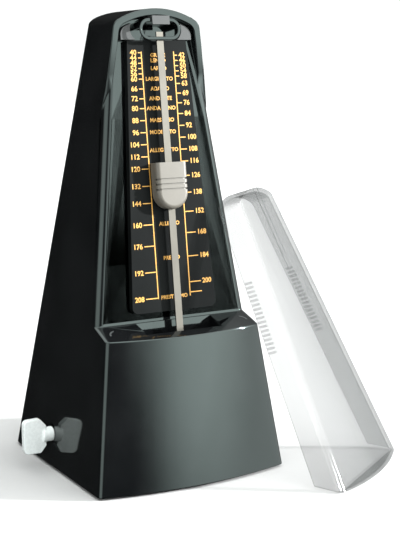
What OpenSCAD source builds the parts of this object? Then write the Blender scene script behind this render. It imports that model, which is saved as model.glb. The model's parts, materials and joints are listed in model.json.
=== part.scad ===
// Key-wound pendulum metronome in a tapered case, with its clear cover taken off and leaning on the case.
// Origin: centre of the case's footprint, on the surface it stands on. +X right, +Y back, +Z up.

/* [Case] */
// Width of the case at its foot
case_w = 100; // [92:1:125]
// Depth of the case at its foot
case_d = 110; // [100:1:135]
// Height of the case at the ends of its crown
case_h = 218; // [200:1:265]
// Width that each side panel loses per millimetre of height
side_slope = 0.1273; // [0.1:0.0001:0.13]
// How far the front leans back per millimetre of height
front_slope = 0.12; // [0.1:0.01:0.14]
// How far the back leans forward per millimetre of height
rear_slope = 0.2; // [0.16:0.01:0.22]
// Wall thickness of the case
wall = 2.4; // [1.8:0.1:3]
// Rise of the crowned top at its centre
crown = 4; // [2:0.5:6]
// Height of the bowed lower block
block_h = 71.3; // [66:0.1:80]
// How far the block's front bows out at its centre
bow = 7; // [3:0.5:8]
// Height at which the sloping ledge meets the set-back front
ledge_h = 76; // [74:0.5:88]
// Thickness of the base cover
base_t = 2.2; // [1.8:0.1:2.4]

/* [Front] */
// Depth of the set-back front behind the front plane
floor_depth = 11.3; // [10:0.1:13]
// Depth of the scale plate's face behind the front plane
plate_depth = 7.9; // [7.7:0.1:8.4]
// Width of the scale plate at its top
plate_top_w = 31; // [26:1:34]
// Width of the scale plate at its bottom edge
plate_bottom_w = 45; // [40:1:48]
// Height of the scale plate's bottom edge
plate_z = 80.7; // [79:0.1:90]
// Height where the scale plate meets the head plate
head_z = 207.5; // [204:0.5:208]
// Width of the head plate
head_w = 37; // [34:1:38]
// Width of the rim fins and of the crown arch
rim_t = 3.3; // [2.5:0.1:3.6]

/* [Pendulum] */
// Width of the flat rod
rod_w = 3.5; // [2.5:0.1:5]
// Thickness of the flat rod
rod_t = 0.9; // [0.6:0.1:1]
// Depth of the rod's middle plane behind the front plane
rod_depth = 4.75; // [4.7:0.05:4.8]
// Height of the rod's tip
rod_tip_z = 211; // [208:0.5:211]
// Radius of the pendulum arbor
verge_r = 1.25; // [1:0.05:1.6]
// Radius that the pallets reach from the arbor's axis
pallet_r = 4.2; // [3:0.1:5]
// Width of the sliding weight
weight_w = 16.2; // [12:0.1:18]
// Height of the sliding weight
weight_h = 22; // [18:0.5:26]
// Thickness of the sliding weight
weight_t = 6.3; // [5:0.1:6.3]
// Height of the sliding weight's reading edge
weight_z = 150.5; // [130:0.5:190]
// Radius of the counterweight
bob_r = 12; // [9:0.5:12.5]
// Thickness of the counterweight
bob_t = 12; // [8:0.5:12]

/* [Movement] */
// Distance between the two frame plates
frame_gap = 30; // [29:0.5:36]
// Thickness of the frame plates
frame_t = 1.6; // [1.2:0.1:2]
// Position of the winding arbor from front to back
key_y = 5; // [2:0.5:8]
// Height of the winding arbor
key_z = 16.6; // [16.6:0.1:19]
// Radius of the winding arbor
arbor_r = 2.4; // [2:0.1:2.8]
// Teeth of the great wheel
great_teeth = 34; // [28:1:34]
// Teeth of the second pinion
second_leaves = 12; // [12:1:14]
// Teeth of the second wheel
second_teeth = 40; // [34:1:40]
// Teeth of the escape pinion
escape_leaves = 10; // [10:1:12]
// Teeth of the crown escape wheel
crown_teeth = 15; // [11:2:19]
// Middle radius of the crown wheel's teeth
crown_r = 9; // [8:0.25:9.5]

/* [Key] */
// Height of the key's wing
wing_h = 17; // [13:0.5:20]
// Length of the key's wing along the arbor
wing_l = 11.5; // [9:0.5:15]
// Thickness of the key's wing
wing_t = 3.6; // [2.5:0.1:4.4]

/* [Cover] */
// Depth of the cover's side walls
cover_depth = 12.4; // [10:0.1:13]
// Wall thickness of the cover
cover_t = 1.6; // [1.2:0.1:2.2]
// How far the cover's sides stand in from the case's sides
cover_inset = 2.6; // [2:0.1:4]
// Turn of the standing cover about the vertical
cover_yaw = 33.7; // [32:0.1:36]
// Lean of the standing cover, more than its lean on the case
cover_lean = 17.8; // [16.5:0.1:18.5]
// How far out from the case's side the cover stands, as a share of the cover's height
cover_out = 0.212; // [0.21:0.001:0.28]
// How far ahead of the case the cover stands, as a share of the cover's height
cover_ahead = 0.1827; // [0.182:0.001:0.28]

/* [Hidden] */
$fn = 48;

// Clearances
run_gap = 0.05;     // a shaft in the hole it turns in
touch_gap = 0.02;   // two fixed round faces
slide_gap = 0.2;    // the weight on the rod
part_gap = 0.3;     // moulded parts beside each other
screw_gap = 0.05;   // a screw in its hole

// The case
foot_h = 1.2;
tilt = atan(front_slope);
front_r = 3;
rear_r = 9;
rim_r = 4;
crown_curve = 42;
crown_corner = 5;
crown_z = case_h + crown;
groove_w = 1;
skin = 0.01;
far = 400;
base_top = foot_h + base_t;
slot_half = 20;
slot_front = -0.8;
slot_back = 10.6;
boss_r = 4.2;
boss_inset_x = 11;
boss_inset_y = 14;
boss_h = 14;
web_l = 9;
screw_r = 1.4;
screw_head_r = 2.7;
screw_head_h = 1.2;
foot_r = 5;
foot_inset_x = 11;
foot_inset_y = 28;

function half_w(z) = case_w / 2 - side_slope * z;
function front_y(z, depth = 0) = -case_d / 2 + front_slope * z + depth;
function rear_y(z) = case_d / 2 - rear_slope * z;
// Distance up the leaning front at which a face of the given depth stands at height z
function up(z, depth = 0) = z / cos(tilt) + depth * sin(tilt);

// A polygon's corners rounded by arcs: one radius per corner, 0 for a sharp one
function unit(v) = v / norm(v);
function arc(p, q, s, r, n) =
    let (a = unit(p - q), b = unit(s - q), h = acos(a * b) / 2, c = q + unit(a + b) * r / sin(h),
         m = q + a * r / tan(h) - c, e = q + b * r / tan(h) - c,
         a0 = atan2(m.y, m.x), turn = (atan2(e.y, e.x) - a0 + 540) % 360 - 180)
    [for (i = [0:n]) c + r * [cos(a0 + turn * i / n), sin(a0 + turn * i / n)]];
function rounded(p, r, n = 6) =
    [for (i = [0:len(p) - 1])
        each r[i] > 0 ? arc(p[(i + len(p) - 1) % len(p)], p[i], p[(i + 1) % len(p)], r[i], n) : [p[i]]];

// Outline of a level section: back corners first, then the front with its bow
function section(hw, fy, ry, rise, rf, rr) =
    let (n = 16, mid = rise > 0 ? [for (i = [1:n - 1]) let (t = -1 + 2 * i / n)
                                    [hw * t, fy - rise * (1 - t * t)]] : [],
         p = concat([[hw, fy], [hw, ry], [-hw, ry], [-hw, fy]], mid))
    rounded(p, concat([rf, rr, rr, rf], [for (m = mid) 0]));
module slab(z, points) translate([0, 0, z]) linear_extrude(skin) polygon(points);

// Drawing plane on the leaning front: x right, y up the slope, z towards the front
module on_front(depth = 0)
    translate([0, -case_d / 2, 0]) rotate([90 - tilt, 0, 0]) translate([0, 0, -depth * cos(tilt)]) children();
// Drawing plane across the case: local x is back, local y is up, local z is right
module across(x = 0, y = 0, z = 0) translate([x, y, z]) rotate([90, 0, 90]) children();

// Front outline of the case above height z0, moved in by inset
function side_top(inset) =
    let (k = sqrt(1 + side_slope * side_slope), n = [1, side_slope] / k, t = [-side_slope, 1] / k,
         r = crown_corner, big = crown_curve - inset, cz = crown_z - crown_curve,
         c0 = n * (case_w / 2 / k - inset - r), d = c0 - [0, cz],
         q = (big - r) * (big - r) - (d * d - (d * t) * (d * t)), c = c0 + t * (sqrt(q) - d * t),
         a0 = atan2(n.y, n.x), a1 = atan2(c.y - cz, c.x))
    concat([for (i = [0:6]) let (a = a0 + (a1 - a0) * i / 6) c + r * [cos(a), sin(a)]],
           [for (i = [1:8]) [0, cz] + big * [cos(a1 + (90 - a1) * i / 8), sin(a1 + (90 - a1) * i / 8)]]);
function outline(z0, inset) =
    let (r = side_top(inset), k = inset * sqrt(1 + side_slope * side_slope))
    concat([[half_w(z0) - k, z0]], r, [for (i = [len(r) - 2:-1:0]) [-r[i].x, r[i].y]],
           [[-half_w(z0) + k, z0]]);
module front_outline(z0, inset)
    rotate([90, 0, 0]) translate([0, 0, -far / 2]) linear_extrude(far) polygon(outline(z0, inset));

// Screw bosses stand in the four corners of the block
boss_x = half_w(boss_h) - boss_inset_x;
boss_y = case_d / 2 - boss_inset_y;
module at_bosses() for (x = [-1, 1], y = [-1, 1]) translate([x * boss_x, y * boss_y, 0]) children();

// The gear train: wheels turn about X, and each arbor stands a centre distance from the last
great_mod = 0.7;
second_mod = 0.6;
second_lean = -15.3;
escape_lean = 45.9;
centre_1 = great_mod * (great_teeth + second_leaves) / 2;
centre_2 = second_mod * (second_teeth + escape_leaves) / 2;
second_y = key_y - centre_1 * sin(second_lean);
second_z = key_z + centre_1 * cos(second_lean);
escape_y = second_y - centre_2 * sin(escape_lean);
escape_z = second_z + centre_2 * cos(escape_lean);
pinion_r = 1.3;
pivot_r = 0.9;
great_x = 8;
great_t = 2;
pinion_t = 2.6;
second_t = 1.2;
second_x = -frame_gap / 2 + 1.4;
wheel_hole_at = 6.6;
pressure = 25;
backlash = 0.07;
addendum = 0.9;
dedendum = 1.15;

// The pendulum arbor passes over the escape arbor, square to the leaning front
verge_drop = 4.5;
verge_up = (escape_y + case_d / 2) * sin(tilt) + escape_z * cos(tilt) + verge_drop;
verge_back = (escape_y + case_d / 2) * cos(tilt) - escape_z * sin(tilt);
rod_back = rod_depth * cos(tilt);
crown_h = 3.4;
crown_x = -pallet_r - 0.4;
crown_rim = 1.1;
pallet_reach = sqrt(crown_r * crown_r - verge_drop * verge_drop);
bracket_t = 3;
front_bracket_back = 15;
rear_bracket_back = verge_back + crown_r + 10.5;
verge_end = rear_bracket_back + bracket_t + 2;
hub_r = 4.2;
hub_t = 3.5;
hub_screw_r = 0.6;
hub_screw_at = 2.7;
pallet_hub_r = 2.3;
pallet_t = 0.8;
pallet_w = 3;

// The frame
plate_x = frame_gap / 2;
frame_front = -35;
frame_back = 27;
frame_top = 60;
flange_w = 9;
pillar_r = 2.2;
pillar_screw_r = 1;
post_pin_r = 1.2;
pillar_at = [[-30, 9], [22.5, 9], [-27, 37], [22.5, 55.5]];
flange_at = [-26, 17];
flange_x = plate_x + frame_t + flange_w / 2;
bush_r = 3;
bush_h = 3;
bushes = [[key_y, key_z, arbor_r], [second_y, second_z, pivot_r], [escape_y, escape_z, pivot_r]];
post_r = 2;
post_far = 13.9;
post_angle = 200;
post_end = 1;
spring_turns = 6;
spring_in = arbor_r + 0.5;
spring_out = 11.6;
spring_t = 0.45;
spring_w = 11.5;
spring_x = -10.5;

// The ratchet and its click, on the great wheel's outer face
ratchet_teeth = 16;
ratchet_r = 5.6;
ratchet_t = 2;
ratchet_x = great_x + great_t + 0.4;
click_far = 9;
click_angle = 90;
click_l = 5.6;
click_screw_r = 0.8;

// Spread of the parts of an involute gear about X
function inv(a) = tan(a) * 180 / PI - a;
function gear_tooth(m, n) =
    let (rp = m * n / 2, rb = rp * cos(pressure), ra = rp + addendum * m, rd = rp - dedendum * m,
         half = 90 / n - backlash / rp * 180 / PI + inv(pressure),
         lo = max(rb, rd), s = [for (i = [0:3]) lo + (ra - lo) * i / 3])
    concat([[rd, half - inv(acos(min(1, rb / lo)))]], [for (r = s) [r, half - inv(acos(rb / r))]]);
function gear(m, n, turn) =
    let (t = gear_tooth(m, n), k = len(t))
    [for (j = [0:n - 1], i = [0:2 * k - 1])
        let (e = i < k ? [t[i][0], -t[i][1]] : t[2 * k - 1 - i], a = turn + j * 360 / n + e[1])
        e[0] * [cos(a), sin(a)]];
module gear_disc(m, n, turn, h, bore) difference() {
    linear_extrude(h) polygon(gear(m, n, turn));
    if (bore > 0) translate([0, 0, -1]) cylinder(r = bore, h = h + 2);
}
mesh_1 = atan2(second_z - key_z, second_y - key_y);
mesh_2 = atan2(escape_z - second_z, escape_y - second_y);

// The set-back front's rounded upright corners end in a fine groove
module upper_body(inset, depth, low) hull() {
    slab(low, section(half_w(low) - inset, front_y(low, depth), rear_y(low) - inset, 0, rim_r, rear_r));
    slab(crown_z, section(half_w(crown_z) - inset, front_y(crown_z, depth),
                          rear_y(crown_z) - inset, 0, rim_r, rear_r));
}
module block(inset, low, high) hull() {
    slab(low, section(half_w(low) - inset, front_y(low, inset), rear_y(low) - inset, bow, front_r, rear_r));
    slab(high - skin, section(half_w(high) - inset, front_y(high, inset), rear_y(high) - inset, bow,
                              front_r, rear_r));
}
module rim_fins() intersection() {
    difference() {
        front_outline(150, 0);
        front_outline(149, rim_t);
    }
    across(-far / 2) linear_extrude(far) polygon([
        [front_y(168, floor_depth + 6), 168], [front_y(172, floor_depth + rim_r), 172],
        [front_y(180, 13), 180], [front_y(192, 9.9), 192], [front_y(205, 7.4), 205],
        [front_y(218, 5.6), 218], [front_y(crown_z + 2, 5.2), crown_z + 2],
        [front_y(crown_z + 2, floor_depth + 6), crown_z + 2]]);
}
module case_shell() color("#0b0c0d") difference() {
    union() {
        difference() {
            intersection() {
                union() {
                    block(0, foot_h, block_h);
                    hull() {
                        slab(block_h - skin, section(half_w(block_h), front_y(block_h), rear_y(block_h), bow,
                                                     front_r, rear_r));
                        slab(ledge_h, section(half_w(ledge_h), front_y(ledge_h, floor_depth),
                                              rear_y(ledge_h), 0, rim_r, rear_r));
                    }
                    upper_body(0, floor_depth, ledge_h);
                }
                front_outline(0, -skin);
            }
            block(wall, foot_h - 1, block_h - wall);
            intersection() {
                upper_body(wall, floor_depth + wall, block_h - wall - 1);
                front_outline(0, wall);
            }
        }
        rim_fins();
        at_bosses() translate([0, 0, base_top]) cylinder(r = boss_r, h = boss_h);
        for (x = [-1, 1], y = [-1, 1])
            translate([x * (boss_x + boss_r + 1.5), y * boss_y, base_top + boss_h / 2])
                cube([web_l, wall, boss_h], center = true);
    }
    // pendulum slot in the ledge
    on_front() translate([-slot_half, up(block_h) - 8, -slot_back * cos(tilt)])
        cube([2 * slot_half, 16, (slot_back - slot_front) * cos(tilt)]);
    at_bosses() cylinder(r = screw_r + screw_gap, h = boss_h - 1);
    across(-far / 2, key_y, key_z) cylinder(r = arbor_r + 2, h = far / 2);
    // groove that takes the edge of the cover
    for (x = [-1, 1]) on_front(floor_depth + 0.9) linear_extrude(4) polygon([
        for (p = [[ledge_h + 3, 0], [172, 0], [172, groove_w], [ledge_h + 3, groove_w]])
            [x * (half_w(p[0]) - rim_r - p[1]), up(p[0])]]);
}

module base_cover() color("#161718") difference() {
    hull() {
        slab(foot_h, section(half_w(foot_h) - wall - part_gap, front_y(foot_h, wall + part_gap),
                             rear_y(foot_h) - wall - part_gap, bow, front_r, rear_r));
        slab(base_top - skin, section(half_w(base_top) - wall - part_gap,
                                      front_y(base_top, wall + part_gap),
                                      rear_y(base_top) - wall - part_gap, bow, front_r, rear_r));
    }
    at_bosses() cylinder(r = screw_r + screw_gap, h = far, center = true);
    at_bosses() translate([0, 0, foot_h - 1]) cylinder(r = screw_head_r + screw_gap, h = 1 + screw_head_h);
    at_flanges() cylinder(r = screw_r + screw_gap, h = far, center = true);
    at_flanges() translate([0, 0, foot_h - 1]) cylinder(r = screw_head_r + screw_gap, h = 1 + screw_head_h);
}

module rubber_feet() color("#2a2a2a")
    for (x = [-1, 1], y = [-1, 1])
        translate([x * (case_w / 2 - foot_inset_x), y * (case_d / 2 - foot_inset_y), 0])
            cylinder(r = foot_r, h = foot_h);

module screw(length) {
    translate([0, 0, foot_h + 0.1]) cylinder(r = screw_head_r, h = screw_head_h - 0.1);
    translate([0, 0, foot_h + 0.1]) cylinder(r = screw_r, h = length);
}
module base_screws() color("#9a9ca0") at_bosses() screw(boss_h - 3);

// The scale plate stands proud of the set-back front, and the head plate carries on above it
module scale_plate() color("#303334") on_front(floor_depth - touch_gap)
    linear_extrude((floor_depth - plate_depth) * cos(tilt)) polygon(rounded([
        [-plate_bottom_w / 2, up(plate_z, plate_depth)], [plate_bottom_w / 2, up(plate_z, plate_depth)],
        [plate_top_w / 2, up(head_z - part_gap, plate_depth)],
        [-plate_top_w / 2, up(head_z - part_gap, plate_depth)]], [3, 3, 0, 0]));

rest_z = 212.3;
rest_half = 10.8;
rest_r = 5.05;
rest_t = 1.6;
recess_half = 13.5;
recess_r = 5.9;
module oval_prism(half, r, h) {
    for (x = [-1, 1]) translate([x * (half - r), 0, 0]) cylinder(r = r, h = h);
    translate([-(half - r), -r, 0]) cube([2 * (half - r), 2 * r, h]);
}
module head_plate() color("#3b3e40") difference() {
    intersection() {
        on_front(floor_depth - touch_gap) translate([-head_w / 2, up(head_z, plate_depth), 0])
            cube([head_w, 20, (floor_depth - plate_depth) * cos(tilt)]);
        front_outline(150, rim_t + 1.4);
    }
    on_front(floor_depth + 1) translate([0, up(rest_z, plate_depth), 0])
        oval_prism(recess_half, recess_r, 8);
}

// Oval ring whose lower lip keeps the rod's tip; behind the lip it is open, so the tip swings free
rest_front = 3.1;
lip_t = 0.8;
module pendulum_rest() color("#17191a") on_front() translate([0, up(rest_z, rest_front), 0]) {
    difference() {
        translate([0, 0, -(rest_front + lip_t) * cos(tilt)]) oval_prism(rest_half, rest_r, lip_t);
        translate([0, 0, -20]) oval_prism(rest_half - rest_t, rest_r - rest_t, 20);
    }
    difference() {
        translate([0, 0, (touch_gap - floor_depth) * cos(tilt)])
            oval_prism(rest_half, rest_r, (floor_depth - rest_front - lip_t + 0.1) * cos(tilt));
        translate([0, 0, -20]) oval_prism(rest_half - rest_t, rest_r - rest_t, 40);
        translate([-20, -20, -20]) cube([40, 20.6, 40]);
    }
}

// Sprung tab that holds the top of the cover
catch_w = 9;
catch_h = 4;
catch_t = 1;
module cover_catch() color("#4a4d4f") {
    on_front() translate([-catch_w / 2, up(crown_z - rim_t - catch_h), -rest_front * cos(tilt) + 0.2])
        cube([catch_w, catch_h, catch_t]);
    translate([-catch_w / 2, front_y(crown_z, 2.5), crown_z - rim_t - catch_t - part_gap])
        cube([catch_w, 8, catch_t]);
}

// The clear cover, drawn as it sits on the case, and then stood beside it
cover_low = block_h + 0.7;
cover_bow = 4.6;
cover_corner = 4;
cover_rise = tan(22);
cover_x = case_w / 2 + cover_out * (crown_z - cover_low);
cover_y = -case_d / 2 - cover_ahead * (crown_z - cover_low);
module cover_body(inset, back) intersection() {
    hull() for (z = [cover_low - 12, crown_z]) {
        w = half_w(z) - cover_inset - inset;
        k = w / (half_w(cover_low) - cover_inset);
        slab(z, section(w, front_y(z, inset), front_y(z, back), cover_bow * k * k, cover_corner - inset, 0));
    }
    front_outline(0, cover_inset + inset);
}
module cover_on_case() difference() {
    cover_body(0, cover_depth);
    cover_body(cover_t, cover_depth + 5);
    across(-far / 2) linear_extrude(far) polygon([
        [front_y(cover_low, -20), cover_low - 20 * cover_rise],
        [front_y(cover_low, 30), cover_low + 30 * cover_rise],
        [front_y(cover_low, 30), 0], [front_y(cover_low, -20), 0]]);
}
cover_k = cover_rise * cos(cover_lean) - sin(cover_lean);
cover_lift = part_gap + max(cover_bow * cover_k, -cover_depth * cover_k);
module front_cover() color("#dfe4e6", 0.4)
    translate([cover_x, cover_y, cover_lift]) rotate([0, 0, cover_yaw]) rotate([-cover_lean, 0, 0])
        translate([0, -front_y(cover_low), -cover_low]) cover_on_case();

// The frame: two plates with flanges on the base cover, four pillars between them
module at_flanges() for (x = [-1, 1], y = flange_at) translate([x * flange_x, y, 0]) children();
module frame_plate(side) difference() {
    union() {
        across(side > 0 ? plate_x : -plate_x - frame_t) linear_extrude(frame_t) polygon(rounded([
            [frame_front, base_top], [frame_back, base_top], [frame_back, frame_top],
            [frame_front, frame_top]], [0, 0, 6, 6]));
        translate([side > 0 ? plate_x : -plate_x - frame_t - flange_w, frame_front + 2, base_top])
            cube([frame_t + flange_w, frame_back - frame_front - 4, frame_t]);
    }
    for (p = pillar_at) across(-far / 2, p.x, p.y) cylinder(r = pillar_screw_r + screw_gap, h = far);
    for (b = bushes) across(-far / 2, b[0], b[1]) cylinder(r = bush_r + touch_gap, h = far);
    if (side < 0) across(-far / 2, post_y, post_z) cylinder(r = post_pin_r + touch_gap, h = far);
    at_flanges() cylinder(r = screw_r + screw_gap, h = 20);
    for (b = bracket_backs) bracket_place(b) for (y = bracket_screw_at)
        translate([0, y, -bracket_t / 2]) rotate([0, 90, 0])
            cylinder(r = bracket_screw_r + screw_gap, h = far, center = true);
}
module left_frame_plate() color("#c8a95a") frame_plate(-1);
module right_frame_plate() color("#c8a95a") frame_plate(1);
module frame_pillars() color("#b9bcc0") for (p = pillar_at) difference() {
    across(-plate_x, p.x, p.y) cylinder(r = pillar_r, h = frame_gap);
    across(-plate_x - 1, p.x, p.y) cylinder(r = pillar_screw_r + screw_gap, h = 8);
    across(plate_x - 7, p.x, p.y) cylinder(r = pillar_screw_r + screw_gap, h = 8);
}
module plate_screw(shank) {
    cylinder(r = pillar_screw_r, h = shank);
    translate([0, 0, shank]) cylinder(r = 2 * pillar_screw_r, h = screw_head_h);
}
module pillar_screws() color("#9a9ca0") for (p = pillar_at, s = [0, 1]) mirror([s, 0, 0])
    across(plate_x - 5, p.x, p.y) plate_screw(5 + frame_t);
module frame_screws() color("#9a9ca0") at_flanges() screw(base_t + frame_t + 1.5);

// Bearing brackets for the pendulum arbor
bracket_backs = [front_bracket_back, rear_bracket_back];
bracket_screw_at = [1.5, 4.5];
bracket_screw_r = 0.9;
module bracket_place(back) on_front() translate([0, verge_up, -back]) children();
module bracket(back) bracket_place(back) difference() {
    translate([-plate_x, -3, -bracket_t]) cube([frame_gap, 9.5, bracket_t]);
    translate([0, 0, -bracket_t - 1]) cylinder(r = verge_r + run_gap, h = bracket_t + 2);
    for (y = bracket_screw_at) translate([0, y, -bracket_t / 2]) rotate([0, 90, 0])
        for (s = [-1, 1]) translate([0, 0, s * (plate_x - 2)])
            cylinder(r = bracket_screw_r + screw_gap, h = 8, center = true);
}
module front_bracket() color("#c8a95a") bracket(front_bracket_back);
module rear_bracket() color("#c8a95a") bracket(rear_bracket_back);
module bracket_screws() color("#9a9ca0")
    for (b = bracket_backs, y = bracket_screw_at, s = [0, 1]) bracket_place(b)
        translate([0, y, -bracket_t / 2]) mirror([s, 0, 0]) rotate([0, 90, 0]) {
            translate([0, 0, plate_x - 5]) cylinder(r = bracket_screw_r, h = 5 + frame_t);
            translate([0, 0, plate_x + frame_t]) cylinder(r = bracket_screw_r + 0.5, h = 0.9);
        }

module arbor_bushings() color("#b08d3c") for (b = bushes, s = [0, 1]) mirror([s, 0, 0])
    across(plate_x - 0.7, b[0], b[1]) difference() {
        union() {
            cylinder(r = bush_r, h = bush_h);
            cylinder(r = bush_r + 0.6, h = 0.68);
        }
        translate([0, 0, -1]) cylinder(r = b[2] + run_gap, h = bush_h + 2);
    }

// Winding: key, arbor, ratchet and click
key_face = -half_w(key_z);
module winding_key() color("#e4e9e8") union() {
    difference() {
        across(key_face - 5, key_y, key_z) cylinder(r = arbor_r + 1.2, h = 5.5);
        across(key_face - 3, key_y, key_z) cylinder(r = arbor_r + touch_gap, h = 5.5);
    }
    translate([key_face - 3.4, key_y + wing_t / 2, key_z]) rotate([90, 0, 0]) linear_extrude(wing_t)
        polygon(rounded([
            [0, -wing_h / 2 + 3.5], [0, wing_h / 2 - 3.5], [-3, wing_h / 2], [-wing_l, wing_h / 2],
            [-wing_l, -wing_h / 2], [-3, -wing_h / 2]], [1, 1, 1, 2.5, 2.5, 1]));
}
module winding_arbor() color("#aeb1b5") {
    across(key_face - 3, key_y, key_z) cylinder(r = arbor_r, h = plate_x + bush_h - key_face + 3.5);
}
module ratchet_wheel() color("#b9bcc0") across(ratchet_x, key_y, key_z) difference() {
    linear_extrude(ratchet_t) polygon([for (i = [0:ratchet_teeth - 1], k = [0, 1])
        let (a = (i + k * 0.12) * 360 / ratchet_teeth, r = k == 0 ? ratchet_r : ratchet_r - 0.9)
        r * [cos(a), sin(a)]]);
    translate([0, 0, -1]) cylinder(r = arbor_r + touch_gap, h = ratchet_t + 2);
}
click_y = click_far * cos(click_angle);
click_z = click_far * sin(click_angle);
module click() color("#8f9296") across(ratchet_x, key_y, key_z) difference() {
    linear_extrude(ratchet_t - 0.4) polygon(rounded([
        [click_y + 1.7, click_z - 1.6], [click_y + 1.7, click_z + 1.6], [click_y - 1.5, click_z + 1.6],
        [click_y - click_l, click_z - 5.3], [click_y - click_l + 0.6, click_z - 5.9],
        [click_y - 2.1, click_z - 1.5]], [1.3, 1.3, 1.3, 0.1, 0.1, 1]));
    translate([click_y, click_z, -1]) cylinder(r = click_screw_r + run_gap, h = ratchet_t + 2);
}
module click_screw() color("#9a9ca0") across(great_x + great_t, key_y + click_y, key_z + click_z) {
    cylinder(r = click_screw_r, h = ratchet_t + 0.4);
    translate([0, 0, ratchet_t + 0.2]) cylinder(r = 1.5, h = 0.8);
}
module click_spring() color("#c9ccd0") across(great_x + great_t, key_y, key_z)
    linear_extrude(1.4) polygon([
        [-9.9, 1.2], [-8.9, 1.2], [-8.5, 4.8], [-6.3, 8.6], [-6.7, 8.9], [-9.1, 5.2]]);

// Spiral spring, its outer eye round the post, its inner end just clear of the arbor
post_y = key_y + post_far * cos(post_angle);
post_z = key_z + post_far * sin(post_angle);
spring_steps = spring_turns * 24;
function coil(i, side) =
    let (t = i / spring_steps, r = spring_in + (spring_out - spring_t - spring_in) * t + side,
         a = post_angle + 8 - 360 * spring_turns * (1 - t))
    r * [cos(a), sin(a)];
module mainspring() color("#70757a") {
    across(spring_x, key_y, key_z) linear_extrude(spring_w) polygon(concat(
        [for (i = [0:spring_steps]) coil(i, spring_t)], [for (i = [spring_steps:-1:0]) coil(i, 0)]));
    across(spring_x, post_y, post_z) difference() {
        cylinder(r = post_r + 0.7, h = spring_w);
        translate([0, 0, -1]) cylinder(r = post_r + touch_gap, h = spring_w + 2);
    }
}
module spring_post() color("#b9bcc0") {
    across(-plate_x, post_y, post_z) cylinder(r = post_r, h = plate_x + post_end + 1);
    across(-plate_x - frame_t, post_y, post_z) cylinder(r = post_pin_r, h = frame_t + 1);
}

// The train
module great_wheel() color("#c8a95a") across(great_x, key_y, key_z) difference() {
    gear_disc(great_mod, great_teeth, mesh_1, great_t, arbor_r + run_gap);
    translate([click_y, click_z, -1]) cylinder(r = click_screw_r + touch_gap, h = great_t + 2);
    for (a = [210:60:330]) rotate(a) translate([wheel_hole_at, 0, -1]) cylinder(r = 2, h = great_t + 2);
}
module arbor(y, z) {
    across(-plate_x - frame_t - 0.5, y, z) cylinder(r = pivot_r, h = frame_gap + 2 * frame_t + 1);
    across(-plate_x + 1, y, z) cylinder(r = pinion_r, h = frame_gap - 2);
}
module second_arbor() color("#aeb1b5") {
    arbor(second_y, second_z);
    across(great_x - (pinion_t - great_t) / 2, second_y, second_z)
        gear_disc(great_mod, second_leaves, mesh_1 + 180 - 180 / second_leaves, pinion_t, 0);
}
module second_wheel() color("#c8a95a") across(second_x, second_y, second_z) difference() {
    gear_disc(second_mod, second_teeth, mesh_2, second_t, pinion_r + touch_gap);
    for (a = [0:72:359]) rotate(a) translate([wheel_hole_at, 0, -1]) cylinder(r = 2.4, h = second_t + 2);
}
module escape_arbor() color("#aeb1b5") {
    arbor(escape_y, escape_z);
    across(second_x - 0.6, escape_y, escape_z)
        gear_disc(second_mod, escape_leaves, mesh_2 + 180 - 180 / escape_leaves, second_t + 1.2, 0);
}
// Crown wheel: saw teeth point along the arbor, towards the pendulum arbor
module crown_wheel() color("#c8a95a") across(crown_x - crown_h, escape_y, escape_z) difference() {
    cylinder(r = crown_r + crown_rim / 2, h = crown_h);
    translate([0, 0, 1]) cylinder(r = crown_r - crown_rim / 2, h = crown_h);
    translate([0, 0, -1]) cylinder(r = pinion_r + touch_gap, h = crown_h);
    for (i = [0:3]) rotate(i * 90 + 45) translate([5.2, 0, -1]) cylinder(r = 1.9, h = crown_h);
    for (i = [0:crown_teeth - 1]) rotate(i * 360 / crown_teeth) translate([crown_r - 2, 0, 0])
        rotate([90, 0, 90]) linear_extrude(4) polygon([[-0.35, crown_h + 1], [-0.35, 1.7],
            [crown_r * 360 / crown_teeth * PI / 180 - 0.6, crown_h + 1]]);
}

// The pendulum
module on_verge(back) on_front() translate([0, verge_up, -back]) children();
module pendulum_arbor() color("#aeb1b5") on_verge(verge_end)
    cylinder(r = verge_r, h = verge_end - rod_back + 3);
module pallet(side) on_verge(verge_back - side * pallet_reach + pallet_w / 2) difference() {
    union() {
        cylinder(r = pallet_hub_r, h = pallet_w);
        rotate(180 + side * 48) translate([pallet_hub_r - 0.6, -pallet_t / 2, 0.2])
            cube([pallet_r - pallet_hub_r + 0.6, pallet_t, pallet_w - 0.4]);
    }
    translate([0, 0, -1]) cylinder(r = verge_r + touch_gap, h = pallet_w + 2);
}
module front_pallet() color("#b9bcc0") pallet(1);
module rear_pallet() color("#b9bcc0") pallet(-1);
module hub_hole(x, r) translate([x, 0, -1]) cylinder(r = r, h = hub_t + 2);
module pendulum_hub() color("#c8a95a") on_verge(rod_back + rod_t / 2 + hub_t) difference() {
    cylinder(r = hub_r, h = hub_t);
    hub_hole(0, verge_r + touch_gap);
    hub_hole(hub_screw_at, hub_screw_r + screw_gap);
    hub_hole(-hub_screw_at, hub_screw_r + screw_gap);
}
module hub_screw() color("#9a9ca0") on_verge(rod_back + rod_t / 2 + hub_t - 0.5)
    for (x = [-hub_screw_at, hub_screw_at]) translate([x, 0, 0]) {
        cylinder(r = hub_screw_r, h = hub_t - 0.5 + rod_t);
        translate([0, 0, hub_t - 0.5 + rod_t]) cylinder(r = hub_screw_r + 0.5, h = 0.7);
    }
rod_up = up(rod_tip_z, rod_depth);
bob_drop = 31;
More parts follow.
